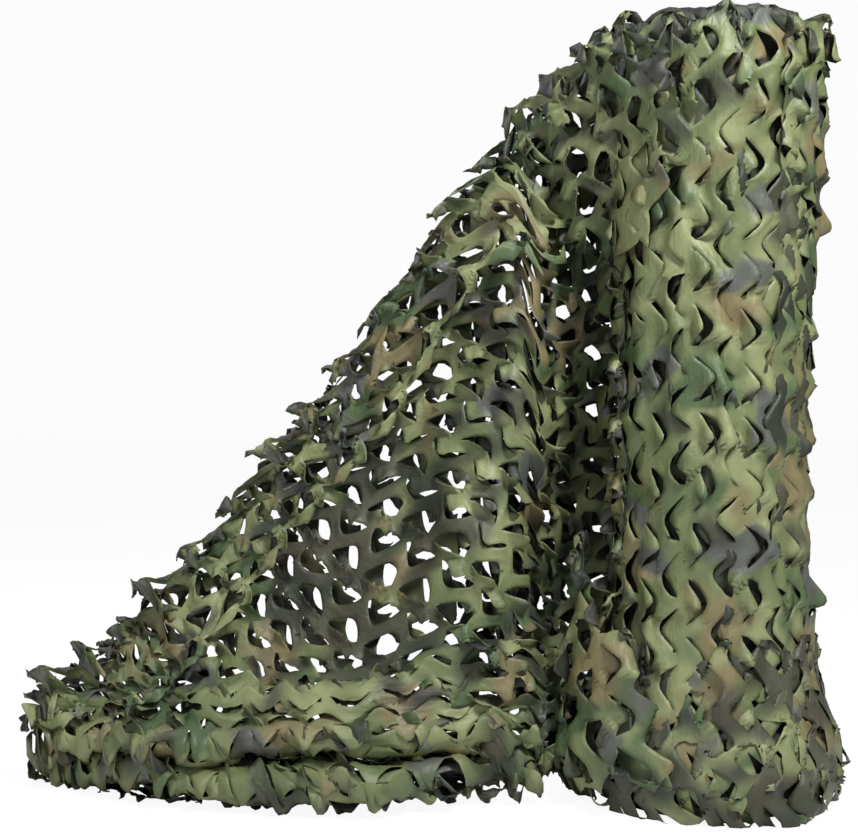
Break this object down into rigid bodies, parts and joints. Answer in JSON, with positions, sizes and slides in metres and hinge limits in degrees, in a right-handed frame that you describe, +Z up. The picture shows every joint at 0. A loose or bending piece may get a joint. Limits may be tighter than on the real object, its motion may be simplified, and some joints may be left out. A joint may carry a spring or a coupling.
{
  "type": "camouflage netting roll",
  "caption": "Upright bulk roll of leaf-cut camouflage netting, its loose end drawn off to one side, let down from the top and folded back and forth on the floor.",
  "frame": {"origin": "centre of the roll's flat foot, on the surface it stands on", "axes": "+Z up along the roll's axis; -X is the side to which the loose end is drawn off; -Y is the front, where the last turn comes round the roll"},
  "size_m": [1.6405, 0.501, 1.5],
  "materials": {
    "netting": "coated polyester, satin, woodland camouflage print in greens, tan and grey"
  },
  "bodies": {
    "root": {"roll": "netting", "loose_end": "netting"}
  },
  "joints": []
}
